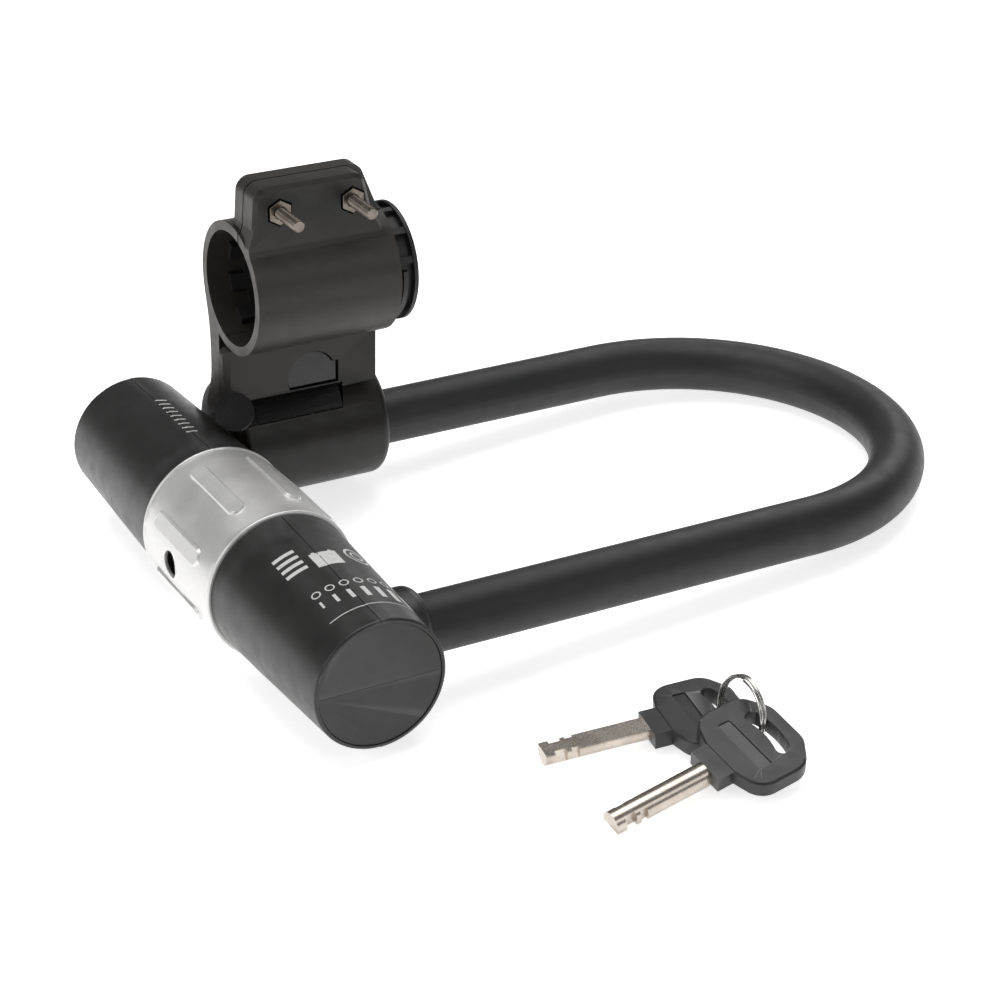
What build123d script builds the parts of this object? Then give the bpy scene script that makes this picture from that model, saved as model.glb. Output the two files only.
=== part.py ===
from build123d import *
import os
from math import asin, cos, degrees, radians, sin

# U lock with a frame bracket and two keys on a ring, in millimetres.
# The lock is drawn in its own axes: X along the shackle's legs, Y along the crossbar, Z up, with the
# origin at the middle of the crossbar's axis. It is then set down on the floor, where the dust sleeve
# and the shackle's bend both touch it, so the lock's X axis dips by TILT. The keys are drawn where they
# lie. The finished frame has its origin on the floor under the middle of the crossbar, +Z up.

os.makedirs("parts", exist_ok=True)

# ---------------------------------------------------------------- shackle
LEG_SPACING = 128.8        # centre to centre of the two legs
LEG_Y = LEG_SPACING / 2
LEG_STRAIGHT = 160.9       # crossbar axis to the start of the bend
BAR_R = 7.0                # hardened bar
COAT_R = 9.0               # outside of the vinyl coat
COAT_START = 18.4          # the coat begins just outside the tube
FOOT_X = -12.0             # end of each leg inside the tube
FOOT_CHAMFER = 1.5

# ---------------------------------------------------------------- crossbar
TUBE_R = 17.5
TUBE_BORE_R = 14.6
TUBE_HALF = 83.8
COVER_HALF = 88.9
COVER_R_MID = 22.65        # beside the dust sleeve
COVER_R_END = 20.1
COVER_BORE_R = 17.6
COVER_EDGE = 1.0           # rounding of the cover's end edge
REAR_PROUD = 0.15          # the rear shell stands this much prouder than the front one
SEAM_GAP = 0.16            # hairline between the two shells
CAP_R = 18.95
CAP_POCKET_R = 19.0
CAP_DEPTH = 4.6
PLUG_LENGTH = 4.5
COLLAR_R = 12.4            # moulded collar round each leg
COLLAR_END_X = 24.4
COLLAR_BORE_R = 9.3
COLLAR_ROUND = 3.6
MOULD_LINE = 0.14          # width of the fine moulding lines
LEG_HOLE_R = 7.5           # leg holes in the tube
SOCKET_R = 14.45
SOCKET_BORE_R = 7.3
SOCKET_Y = 66.0
SOCKET_LENGTH = 22.0
GUIDE_END = 54.7

# ---------------------------------------------------------------- dust sleeve
SLEEVE_R = 24.1
SLEEVE_EDGE_R = 23.35      # body of the sleeve beside its rims
SLEEVE_BORE_R = 22.95
SLEEVE_HALF = 24.1
SLEEVE_Y = -1.2
RIM_R = 23.75
RIM_WIDTH = 1.3
LIP_R = 22.4               # the rims' inner lips ride in the cover's recess
RECESS_R = 22.1
RECESS_HALF = 24.4
RIB_COUNT = 8
RIB_LENGTH = 32.0
RIB_WIDTH = 6.0
RIB_PROUD = 0.5
KEYHOLE_R = 4.2
KEY_Y = 1.4                # where the lock core stands along the crossbar

# ---------------------------------------------------------------- lock core
NOSE_X = -21.6
NOSE_R = 5.4
BARREL_R = 7.5
BARREL_BORE_R = 6.6
BARREL_START = -14.4
BARREL_END = 4.4
KEYWAY_R = 3.9
KEYWAY_FLAT = -1.5         # the keyway's flat side
DISC_COUNT = 8
DISC_R = 6.5
DISC_T = 1.5
DISC_PITCH = 2.05
DISC_START = -13.2
SPACER_T = 0.45
SIDEBAR_W = 2.0
SIDEBAR_LOW = 5.7
SIDEBAR_HIGH = 7.3
SIDEBAR_SLOT = 2.3
HOUSING_HALF = 18.4
HOUSING_BORE_R = 7.62
HOUSING_PIN_AT = (-5.0, KEY_Y - 12.9, 0)
HOUSING_PIN_R = 1.98
HOUSING_PIN_HALF = 15.9
CAM_ROOM_Y = 12.6          # room round the cam and the forks
CAM_ROOM_Z = 8.8
CAM_T = 1.2
CAM_R = 7.35
CAM_PIN_R = 1.5
BOLT_THROW = 5.5           # also the radius of the cam's pins
CAM_START = BARREL_END + 0.1
BOLT_X = 8.5               # the bolts run behind the core
BOLT_R = 4.0
BOLT_BORE_R = 4.1
BOLT_TIP = 56.9
NOTCH_R = 4.4
NOTCH_DEPTH = 6.0
FORK_BACK = 3.25           # fork wall behind the cam's pin
FORK_SLOT_BACK = 1.65
FORK_SLOT_FRONT = 2.95
FORK_FRONT = 6.2
FORK_LOW = 0.4
FORK_SLOT_TOP = 7.15
FORK_HIGH = 8.4
FORK_HALF_T = 2.4

# ---------------------------------------------------------------- bracket: holder on the far leg
HOLDER_R = 19.8
HOLDER_Z = 3.4             # the holder's cylinder stands above the leg's axis
HOLDER_START = 22.0
HOLDER_END = 72.5
HOLDER_BORE_R = 11.4
BUSH_BORE_R = 9.08
BUSH_R = 11.35
BUSH_FLANGE_R = 12.0
BUSH_START = 26.0
BUSH_END = 71.2
BUSH_FLANGE_T = 1.2
PLATE_FRONT = 53.4
PLATE_BACK = 58.3
PLATE_START = 17.9
PLATE_END = 70.5
PLATE_TOP = 39.3
PLATE_BEVEL = 1.8
WINDOW_X = 47.9
WINDOW_Z = 25.5
WINDOW_R = 8.5
WINDOW_END = 57.2
WINDOW_FLOOR = 21.9
WINDOW_SHOULDER = 29.5
PAD_GAP = 0.12             # the pad in the window
PAD_SUNK = 0.9
PAD_ROUND = 0.5

# ---------------------------------------------------------------- bracket: release lever
LEVER_ANGLE = 132.5        # direction of its outer face round the holder's axis
LEVER_R = 20.4
LEVER_BACK = 17.6
LEVER_HALF = 4.0
LEVER_START = 26.0
LEVER_END = 56.4
PIVOT_X = 46.0
PIVOT_R = 17.9
PIN_R = 0.9
PIN_HALF = 6.0
EAR_R = 1.9
COIL_R = 1.4               # the lever's torsion spring
COIL_WIRE = 0.25
COIL_PITCH = 0.8
COIL_LENGTH = 2.4
POCKET_FLOOR = 15.2
POCKET_HALF = 4.25
POCKET_DEPTH = 5.5
PADDLE_R = 6.1
PADDLE_T = 2.3
PADDLE_AT = Vector(15.3, 40.8, 24.8)
PADDLE_FACE = Vector(-0.40, -0.72, 0.57)

# ---------------------------------------------------------------- bracket: frame clamp
CLAMP_Y = 52.3
CLAMP_Z = 61.0
CLAMP_R = 21.2
CLAMP_BORE_R = 18.2
CLAMP_START = 20.0
CLAMP_END = 68.5
SPLIT_TOP = 45.9           # middle of the gap between the two flanges
SPLIT_BOTTOM = 57.0
SPLIT_GAP = 0.6
FLANGE_FRONT = 38.0
FLANGE_BACK = 51.8
FLANGE_TOP = 97.3
FLANGE_ROUND = 4.5
FLANGE_BLEND = 4.0         # where the front flange runs into the ring
FLANGE_SOFT = 1.2
TONGUE_FRONT = 62.4
SLOT_FLOOR = 13.3          # floor of the holder's dovetail slot
RAIL_TOP = 22.5            # rail of the slot behind the plate
RAIL_BACK = 61.9
TONGUE_FLOOR = 13.7
SCREW_X = (30.5, 54.8)
SCREW_Z = 89.0
SCREW_R = 1.95             # M4
SCREW_TIP = 24.5
SCREW_HEAD_R = 3.5
SCREW_HEAD_T = 3.4
SCREW_SOCKET_R = 1.73
NUT_FLATS = 7.0
NUT_T = 3.2
NUT_RECESS = 2.6
NUT_RECESS_FLATS = 8.0
INSERT_R = 18.1
INSERT_BORE_R = 15.9       # takes a 31.8 mm frame tube
INSERT_START = 27.0
INSERT_END = 75.4
INSERT_FLANGE_R = 19.0
INSERT_FLANGE_T = 1.3
INSERT_COLLAR_T = 1.6
INSERT_TEETH = 10
INSERT_TOOTH = 5.0
INSERT_RIBS = 10
INSERT_GROOVES = (35.0, 39.0, 43.0)

# ---------------------------------------------------------------- keys and ring
KEY_T = 5.2
KEY_ROUND = 0.8
KEY_COLLAR = 5.9
KEY_COLLAR_HALF = 6.1
KEY_END = 28.4
KEY_HALF = 15.3
BLADE_LENGTH = 31.0
BLADE_R = 3.5
BLADE_FLAT = -1.3
BLADE_CUTS = [(2.8, 3.4, 1.5), (7.6, 2.2, 1.1)]   # from the tip: start, length and depth
TANG_W = 5.0               # the blade's tang inside the head
TANG_T = 2.2
BLADE_ROOT = 8.0           # length of the tang moulded into the head
HEAD_SIDE = [(4.9, 5.8), (7.7, KEY_HALF), (23.2, KEY_HALF), (KEY_END + 0.2, 7.0)]
HEAD_ROUND = 6.4
INLAY_X = 13.5
INLAY_W = 4.1
INLAY_L = 19.0
INLAY_DEPTH = 0.35
INLAY_ROUND = 0.6
SLOT_W = 4.3
SLOT_HALF = 6.6            # from the middle to the centre of the slot's round end
SLOT_BOW = 1.0
SLOT_X = 22.45
RING_R = 9.9
RING_WIRE = 0.55
RING_PITCH = 1.15
RING_PLANE = Plane((87.15, -135.3, 10.4), x_dir=(0.2, 0, 0.98), z_dir=(-0.98, -0.05, 0.2))

# ================================================================ worked-out values
TILT = degrees(asin((SLEEVE_R - COAT_R) / (LEG_STRAIGHT + LEG_Y)))
LOCK_SEAT = Location((0, 0, SLEEVE_R), (0, TILT, 0))
SIDES = {"near": -1, "far": 1}
CAM_END = CAM_START + CAM_T
ALONG_X = (0, 90, 0)       # turns a cylinder's axis from Z to X
ALONG_Y = (-90, 0, 0)      # turns a cylinder's axis from Z to Y
lock_pieces = []
floor_pieces = []


def x_plane(x, y=0.0, z=0.0):
    """A sketch plane facing +X whose own x and y are the lock's Y and Z."""
    return Plane(origin=(x, y, z), x_dir=(0, 1, 0), z_dir=(1, 0, 0))


def y_plane(y, facing=-1):
    """A sketch plane facing -Y or +Y; facing -Y its own x and y are the lock's X and Z."""
    return Plane(origin=(0, y, 0), x_dir=(1, 0, 0), z_dir=(0, facing, 0))


# ================================================================ shackle
with BuildPart() as shackle_bar:
    with BuildLine() as bar_path:
        near_run = Line((FOOT_X, -LEG_Y, 0), (LEG_STRAIGHT, -LEG_Y, 0))
        far_run = Line((LEG_STRAIGHT, LEG_Y, 0), (FOOT_X, LEG_Y, 0))
        ThreePointArc(near_run @ 1, (LEG_STRAIGHT + LEG_Y, 0, 0), far_run @ 0)
    with BuildSketch(x_plane(FOOT_X, -LEG_Y)):
        Circle(BAR_R)
    sweep(path=bar_path.wires()[0])
    chamfer(shackle_bar.edges().group_by(Axis.X)[0], FOOT_CHAMFER)
    for side in SIDES.values():
        with Locations((BOLT_X, side * (LEG_Y - BAR_R + NOTCH_DEPTH / 2), 0)):
            Cylinder(NOTCH_R, NOTCH_DEPTH, rotation=ALONG_Y, mode=Mode.SUBTRACT)
shackle_bar.part.label = "shackle_bar"
lock_pieces.append(shackle_bar)

with BuildPart() as shackle_coat:
    with BuildLine() as coat_path:
        near_run = Line((COAT_START, -LEG_Y, 0), (LEG_STRAIGHT, -LEG_Y, 0))
        far_run = Line((LEG_STRAIGHT, LEG_Y, 0), (COAT_START, LEG_Y, 0))
        ThreePointArc(near_run @ 1, (LEG_STRAIGHT + LEG_Y, 0, 0), far_run @ 0)
    with BuildSketch(x_plane(COAT_START, -LEG_Y)):
        Circle(COAT_R)
        Circle(BAR_R, mode=Mode.SUBTRACT)
    sweep(path=coat_path.wires()[0])
shackle_coat.part.label = "shackle_coat"
lock_pieces.append(shackle_coat)

# ================================================================ crossbar
with BuildPart() as crossbar_tube:
    Cylinder(TUBE_R, 2 * TUBE_HALF, rotation=ALONG_Y)
    Cylinder(TUBE_BORE_R, 2 * TUBE_HALF, rotation=ALONG_Y, mode=Mode.SUBTRACT)
    for side in SIDES.values():
        with Locations((TUBE_R / 2, side * LEG_Y, 0)):
            Cylinder(LEG_HOLE_R, TUBE_R, rotation=ALONG_X, mode=Mode.SUBTRACT,
                     align=(Align.CENTER, Align.CENTER, Align.MIN))
    with Locations((-TUBE_R, KEY_Y, 0)):
        Cylinder(BARREL_R + 0.2, TUBE_R, rotation=ALONG_X, mode=Mode.SUBTRACT)
    with Locations(HOUSING_PIN_AT):
        Cylinder(HOUSING_PIN_R + 0.02, 3 * TUBE_R, mode=Mode.SUBTRACT)
crossbar_tube.part.label = "crossbar_tube"
lock_pieces.append(crossbar_tube)


def cover_outline(proud):
    """Half section of the cover as (radius, y) points, its outside `proud` of nominal."""
    recess_low = SLEEVE_Y - RECESS_HALF
    recess_high = SLEEVE_Y + RECESS_HALF
    pocket = COVER_HALF - CAP_DEPTH
    return [
        (COVER_R_END + proud, -COVER_HALF),
        (COVER_R_MID + proud, recess_low),
        (RECESS_R, recess_low),
        (RECESS_R, recess_high),
        (COVER_R_MID + proud, recess_high),
        (COVER_R_END + proud, COVER_HALF),
        (CAP_POCKET_R, COVER_HALF),
        (CAP_POCKET_R, pocket),
        (COVER_BORE_R, pocket),
        (COVER_BORE_R, -pocket),
        (CAP_POCKET_R, -pocket),
        (CAP_POCKET_R, -COVER_HALF),
    ]


with BuildPart() as cover_front:
    with BuildSketch(Plane.XY) as front_section:
        Polygon(*cover_outline(0), align=None)
    revolve(axis=Axis.Y)
    end_edges = cover_front.edges().filter_by(GeomType.CIRCLE).filter_by(
        lambda edge: abs(edge.radius - COVER_R_END) < 0.01)
    fillet(end_edges, COVER_EDGE * 0.8)
    split(bisect_by=Plane.YZ.offset(-SEAM_GAP / 2), keep=Keep.BOTTOM)
    with Locations((-COVER_R_MID, KEY_Y, 0)):
        Cylinder(NOSE_R + 0.6, TUBE_R, rotation=ALONG_X, mode=Mode.SUBTRACT)
cover_front.part.label = "cover_front"
lock_pieces.append(cover_front)

with BuildPart() as cover_rear:
    for side in SIDES.values():
        with BuildSketch(Plane((0, side * LEG_Y, 0), x_dir=(1, 0, 0), z_dir=(0, 0, 1))) as collar:
            with Locations((COVER_BORE_R / 2, 0)):
                Rectangle(COLLAR_END_X - COVER_BORE_R / 2, COLLAR_R, align=(Align.MIN, Align.MIN))
            fillet(collar.vertices().group_by(Axis.X)[-1].sort_by(Axis.Y)[-1], COLLAR_ROUND)
        revolve(axis=Axis((0, side * LEG_Y, 0), (1, 0, 0)))
    Cylinder(COVER_BORE_R + 1.0, 2 * (COVER_HALF - CAP_DEPTH), rotation=ALONG_Y, mode=Mode.SUBTRACT)
    with BuildSketch(Plane.XY) as rear_section:
        Polygon(*cover_outline(REAR_PROUD), align=None)
    revolve(axis=Axis.Y)
    end_edges = cover_rear.edges().filter_by(GeomType.CIRCLE).filter_by(
        lambda edge: abs(edge.radius - COVER_R_END - REAR_PROUD) < 0.01)
    fillet(end_edges, COVER_EDGE * 0.8)
    split(bisect_by=Plane.YZ.offset(SEAM_GAP / 2), keep=Keep.TOP)
    for side in SIDES.values():
        with Locations((0, side * LEG_Y, 0)):
            Cylinder(COLLAR_BORE_R, 2 * COLLAR_END_X, rotation=ALONG_X, mode=Mode.SUBTRACT,
                     align=(Align.CENTER, Align.CENTER, Align.MIN))
cover_rear.part.label = "cover_rear"
lock_pieces.append(cover_rear)

for name, side in SIDES.items():
    with BuildPart() as end_cap:
        with Locations((0, side * (COVER_HALF - CAP_DEPTH / 2 - 0.15), 0)):
            Cylinder(CAP_R, CAP_DEPTH - 0.3, rotation=ALONG_Y)
        fillet(end_cap.edges().filter_by(GeomType.CIRCLE).sort_by(Axis.Y)[0 if side < 0 else -1], 0.2)
        with Locations((0, side * (COVER_HALF - 0.3), 0)):
            Box(2 * CAP_R, 0.16, MOULD_LINE, mode=Mode.SUBTRACT)
    end_cap.part.label = f"end_cap_{name}"
    lock_pieces.append(end_cap)

    with BuildPart() as end_plug:
        with Locations((0, side * (TUBE_HALF - 0.2 - PLUG_LENGTH / 2), 0)):
            Cylinder(TUBE_BORE_R - 0.05, PLUG_LENGTH, rotation=ALONG_Y)
        chamfer(end_plug.edges().filter_by(GeomType.CIRCLE), 0.5)
    end_plug.part.label = f"end_plug_{name}"
    lock_pieces.append(end_plug)

    with BuildPart() as leg_socket:
        with Locations((0, side * SOCKET_Y, 0)):
            Cylinder(SOCKET_R, SOCKET_LENGTH, rotation=ALONG_Y)
        with Locations((0, side * LEG_Y, 0)):
            Cylinder(SOCKET_BORE_R, 3 * SOCKET_R, rotation=ALONG_X, mode=Mode.SUBTRACT)
        with Locations((BOLT_X, side * (SOCKET_Y - SOCKET_LENGTH / 2), 0)):
            Cylinder(BOLT_BORE_R, 2 * BOLT_R, rotation=ALONG_Y, mode=Mode.SUBTRACT)
    leg_socket.part.label = f"leg_socket_{name}"
    lock_pieces.append(leg_socket)

    guide_inner = HOUSING_HALF + side * KEY_Y + 0.3
    guide_length = GUIDE_END - guide_inner
    with BuildPart() as bolt_guide:
        with Locations((0, side * (guide_inner + guide_length / 2), 0)):
            Cylinder(SOCKET_R, guide_length, rotation=ALONG_Y)
        with Locations((BOLT_X, side * (guide_inner + guide_length / 2), 0)):
            Cylinder(BOLT_BORE_R, guide_length, rotation=ALONG_Y, mode=Mode.SUBTRACT)
    bolt_guide.part.label = f"bolt_guide_{name}"
    lock_pieces.append(bolt_guide)

# ================================================================ lock core and bolts
with BuildPart() as lock_housing:
    with Locations((0, KEY_Y, 0)):
        Cylinder(SOCKET_R, 2 * HOUSING_HALF, rotation=ALONG_Y)
    with Locations((CAM_END + 0.1, KEY_Y, 0)):
        Cylinder(HOUSING_BORE_R, 3 * SOCKET_R, rotation=ALONG_X, mode=Mode.SUBTRACT,
                 align=(Align.CENTER, Align.CENTER, Align.MAX))
        Box(SOCKET_R, 2 * CAM_ROOM_Y, 2 * CAM_ROOM_Z, mode=Mode.SUBTRACT,
            align=(Align.MIN, Align.CENTER, Align.CENTER))
    with Locations((BOLT_X, KEY_Y, 0)):
        Cylinder(BOLT_BORE_R, 3 * HOUSING_HALF, rotation=ALONG_Y, mode=Mode.SUBTRACT)
    with Locations(HOUSING_PIN_AT):
        Cylinder(HOUSING_PIN_R + 0.02, 3 * TUBE_R, mode=Mode.SUBTRACT)
lock_housing.part.label = "lock_housing"
lock_pieces.append(lock_housing)

with BuildPart() as housing_pin:
    with Locations(HOUSING_PIN_AT):
        Cylinder(HOUSING_PIN_R, 2 * HOUSING_PIN_HALF)
    chamfer(housing_pin.edges().filter_by(GeomType.CIRCLE), 0.4)
housing_pin.part.label = "housing_pin"
lock_pieces.append(housing_pin)

with BuildPart() as lock_core:
    with BuildSketch(x_plane(NOSE_X, KEY_Y)):
        Circle(NOSE_R)
    extrude(amount=BARREL_START - NOSE_X)
    with BuildSketch(x_plane(BARREL_START, KEY_Y)):
        Circle(BARREL_R)
    extrude(amount=BARREL_END - BARREL_START)
    with BuildSketch(x_plane(DISC_START - 0.2, KEY_Y)):
        Circle(BARREL_BORE_R)
    extrude(amount=BARREL_END - DISC_START + 0.2, mode=Mode.SUBTRACT)
    with BuildSketch(x_plane(NOSE_X, KEY_Y)):
        Circle(KEYWAY_R)
        with Locations((KEYWAY_FLAT, 0)):
            Rectangle(KEYWAY_R, 2 * KEYWAY_R, align=(Align.MAX, Align.CENTER), mode=Mode.SUBTRACT)
    extrude(amount=DISC_START - NOSE_X, mode=Mode.SUBTRACT)
    with BuildSketch(x_plane(DISC_START, KEY_Y)):
        with Locations((0, BARREL_R)):
            Rectangle(SIDEBAR_SLOT, 4.0)
    extrude(amount=BARREL_END - 1.0 - DISC_START, mode=Mode.SUBTRACT)
    chamfer(lock_core.edges().group_by(Axis.X)[0].filter_by(GeomType.CIRCLE).sort_by(SortBy.RADIUS)[-1], 0.4)
lock_core.part.label = "lock_core"
lock_pieces.append(lock_core)


def disc_face(plane, hole_r):
    """One detainer disc's outline on a plane: keyway hole and the sidebar's gate at the top."""
    with BuildSketch(plane, mode=Mode.PRIVATE) as face:
        Circle(DISC_R)
        Circle(hole_r, mode=Mode.SUBTRACT)
        with Locations((0, DISC_R)):
            Rectangle(SIDEBAR_SLOT, 2 * (DISC_R - SIDEBAR_LOW + 0.15), mode=Mode.SUBTRACT)
    return face.sketch


with BuildPart() as detainer_discs:
    for index in range(DISC_COUNT):
        extrude(disc_face(x_plane(DISC_START + index * DISC_PITCH, KEY_Y), KEYWAY_R + 0.1), amount=DISC_T)
detainer_discs.part.label = "detainer_discs"
lock_pieces.append(detainer_discs)

with BuildPart() as disc_spacers:
    for index in range(DISC_COUNT - 1):
        spacer_x = DISC_START + DISC_T + index * DISC_PITCH + (DISC_PITCH - DISC_T - SPACER_T) / 2
        extrude(disc_face(x_plane(spacer_x, KEY_Y), KEYWAY_R + 0.6), amount=SPACER_T)
disc_spacers.part.label = "disc_spacers"
lock_pieces.append(disc_spacers)

with BuildPart() as sidebar:
    with BuildSketch(x_plane(DISC_START + 0.2, KEY_Y)):
        with Locations((0, (SIDEBAR_LOW + SIDEBAR_HIGH) / 2)):
            Rectangle(SIDEBAR_W, SIDEBAR_HIGH - SIDEBAR_LOW)
    extrude(amount=BARREL_END - DISC_START - 1.6)
sidebar.part.label = "sidebar"
lock_pieces.append(sidebar)

with BuildPart() as bolt_cam:
    with BuildSketch(x_plane(CAM_START, KEY_Y)):
        Circle(CAM_R)
    extrude(amount=CAM_T)
    with BuildSketch(x_plane(CAM_END, KEY_Y)):
        with Locations((0, BOLT_THROW), (0, -BOLT_THROW)):
            Circle(CAM_PIN_R)
    extrude(amount=2 * FORK_HALF_T + 0.3)
bolt_cam.part.label = "bolt_cam"
lock_pieces.append(bolt_cam)

for name, side in SIDES.items():
    rod_start = side * KEY_Y + FORK_FRONT - 1.2
    with BuildPart() as deadbolt:
        with Locations((BOLT_X, side * (rod_start + BOLT_TIP) / 2, 0)):
            Cylinder(BOLT_R, BOLT_TIP - rod_start, rotation=ALONG_Y)
        chamfer(deadbolt.edges().filter_by(GeomType.CIRCLE), 0.8)
        # Flat that clears the cam.
        with Locations((CAM_END + 0.15, side * rod_start, 0)):
            Box(BOLT_R, 2 * (CAM_R + 0.3 - FORK_FRONT + 1.2), 2 * BOLT_R, mode=Mode.SUBTRACT,
                align=(Align.MAX, Align.CENTER, Align.CENTER))
        # The far bolt's fork stands above the axis and the near bolt's hangs below it.
        fork_low, fork_high = sorted((side * FORK_LOW, side * FORK_HIGH))
        with BuildSketch(x_plane(BOLT_X - FORK_HALF_T, KEY_Y)):
            with Locations((side * (FORK_FRONT - FORK_BACK) / 2, (fork_low + fork_high) / 2)):
                Rectangle(FORK_FRONT + FORK_BACK, fork_high - fork_low)
            with Locations((side * (FORK_SLOT_FRONT - FORK_SLOT_BACK) / 2, side * FORK_SLOT_TOP / 2)):
                Rectangle(FORK_SLOT_FRONT + FORK_SLOT_BACK, FORK_SLOT_TOP, mode=Mode.SUBTRACT)
        extrude(amount=2 * FORK_HALF_T)
    deadbolt.part.label = f"deadbolt_{name}"
    lock_pieces.append(deadbolt)

# ================================================================ dust sleeve
with BuildPart() as dust_sleeve:
    with BuildSketch(Plane((0, SLEEVE_Y, 0), x_dir=(1, 0, 0), z_dir=(0, 0, 1))):
        with BuildLine():
            crown = ThreePointArc(
                (SLEEVE_EDGE_R, -SLEEVE_HALF + RIM_WIDTH), (SLEEVE_R, 0),
                (SLEEVE_EDGE_R, SLEEVE_HALF - RIM_WIDTH))
            rim_high = ThreePointArc(
                crown @ 1, (RIM_R, SLEEVE_HALF - RIM_WIDTH / 2), (SLEEVE_EDGE_R - 0.2, SLEEVE_HALF))
            inside = Polyline(
                rim_high @ 1, (LIP_R, SLEEVE_HALF), (LIP_R, SLEEVE_HALF - RIM_WIDTH),
                (SLEEVE_BORE_R, SLEEVE_HALF - RIM_WIDTH - 0.5),
                (SLEEVE_BORE_R, -SLEEVE_HALF + RIM_WIDTH + 0.5),
                (LIP_R, -SLEEVE_HALF + RIM_WIDTH), (LIP_R, -SLEEVE_HALF),
                (SLEEVE_EDGE_R - 0.2, -SLEEVE_HALF))
            ThreePointArc(inside @ 1, (RIM_R, -SLEEVE_HALF + RIM_WIDTH / 2), crown @ 0)
        make_face()
    revolve(axis=Axis.Y)
    for index in range(RIB_COUNT):
        angle = radians(360 / RIB_COUNT * (index + 0.5))
        outward = Vector(cos(angle), 0, sin(angle))
        with BuildSketch(Plane(outward * (SLEEVE_R - 0.6) + Vector(0, -0.5, 0), (0, 1, 0), outward)):
            SlotOverall(RIB_LENGTH, RIB_WIDTH)
        extrude(amount=RIB_PROUD + 0.6, taper=30)
    with Locations((-SLEEVE_R, KEY_Y, 0)):
        Cylinder(KEYHOLE_R, 6.0, rotation=ALONG_X, mode=Mode.SUBTRACT)
dust_sleeve.part.label = "dust_sleeve"
lock_pieces.append(dust_sleeve)

# ================================================================ bracket: bush and holder
LEVER_OUT = Vector(0, cos(radians(LEVER_ANGLE)), sin(radians(LEVER_ANGLE)))
LEVER_UP = Vector(0, LEVER_OUT.Z, -LEVER_OUT.Y)
HOLDER_AXIS_AT = Vector(0, LEG_Y, HOLDER_Z)


def lever_plane(radius):
    """A sketch plane on the lever's face, `radius` out from the holder's axis; own y runs up."""
    return Plane(HOLDER_AXIS_AT + LEVER_OUT * radius, x_dir=(1, 0, 0), z_dir=LEVER_OUT)


def pivot_plane(along):
    """A plane across the lever's pivot, `along` its axis from the middle."""
    origin = HOLDER_AXIS_AT + LEVER_OUT * PIVOT_R + LEVER_UP * along + Vector(PIVOT_X, 0, 0)
    return Plane(origin, x_dir=(1, 0, 0), z_dir=LEVER_UP)


def window_prism(inside):
    """The plate's window, an arch with a squared shoulder, drawn in by `inside` all round."""
    with BuildPart(mode=Mode.PRIVATE) as prism:
        with BuildSketch(y_plane(PLATE_FRONT)):
            with Locations((WINDOW_X, WINDOW_Z)):
                Circle(WINDOW_R)
            with Locations((WINDOW_X, WINDOW_FLOOR)):
                Rectangle(WINDOW_END - WINDOW_X, WINDOW_SHOULDER - WINDOW_FLOOR, align=(Align.MIN, Align.MIN))
                Rectangle(4 * WINDOW_R, 6 * WINDOW_R, align=(Align.CENTER, Align.MAX), mode=Mode.SUBTRACT)
            offset(amount=-inside)
        extrude(amount=PLATE_FRONT - PLATE_BACK)
    return prism.part


with BuildPart() as leg_bush:
    with BuildSketch(x_plane(BUSH_START, LEG_Y)):
        Circle(BUSH_R)
    extrude(amount=BUSH_END - BUSH_START)
    for flange_x in (BUSH_START, BUSH_END - BUSH_FLANGE_T):
        with BuildSketch(x_plane(flange_x, LEG_Y)):
            Circle(BUSH_FLANGE_R)
        extrude(amount=BUSH_FLANGE_T)
    with Locations(((BUSH_START + BUSH_END) / 2, LEG_Y, 0)):
        Cylinder(BUSH_BORE_R, BUSH_END - BUSH_START, rotation=ALONG_X, mode=Mode.SUBTRACT)
leg_bush.part.label = "leg_bush"
lock_pieces.append(leg_bush)

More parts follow.
